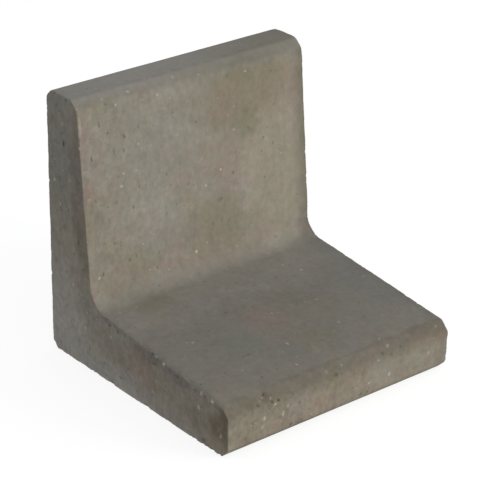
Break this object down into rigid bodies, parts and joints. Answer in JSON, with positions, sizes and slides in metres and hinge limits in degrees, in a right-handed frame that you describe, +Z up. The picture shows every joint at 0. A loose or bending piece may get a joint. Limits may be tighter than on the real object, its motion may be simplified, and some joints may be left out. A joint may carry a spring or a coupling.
{
  "type": "l-shaped retaining wall element",
  "caption": "L-shaped concrete retaining wall element: a tapered wall leg on a tapered foot, with a filleted root and chamfered edges.",
  "frame": {"origin": "on the ground, in the middle of the footprint: half the length, half the depth from toe to outer face", "axes": "+X along the wall, towards the right-hand end seen from the foot; +Y out of the flat outer face, so the foot's toe points to -Y; +Z up"},
  "size_m": [0.4, 0.4, 0.4],
  "materials": {
    "concrete": "dry-cast concrete, matt, finely pitted, warm grey with brown and green-grey clouds"
  },
  "bodies": {
    "root": {"retaining_wall_element": "concrete"}
  },
  "joints": []
}
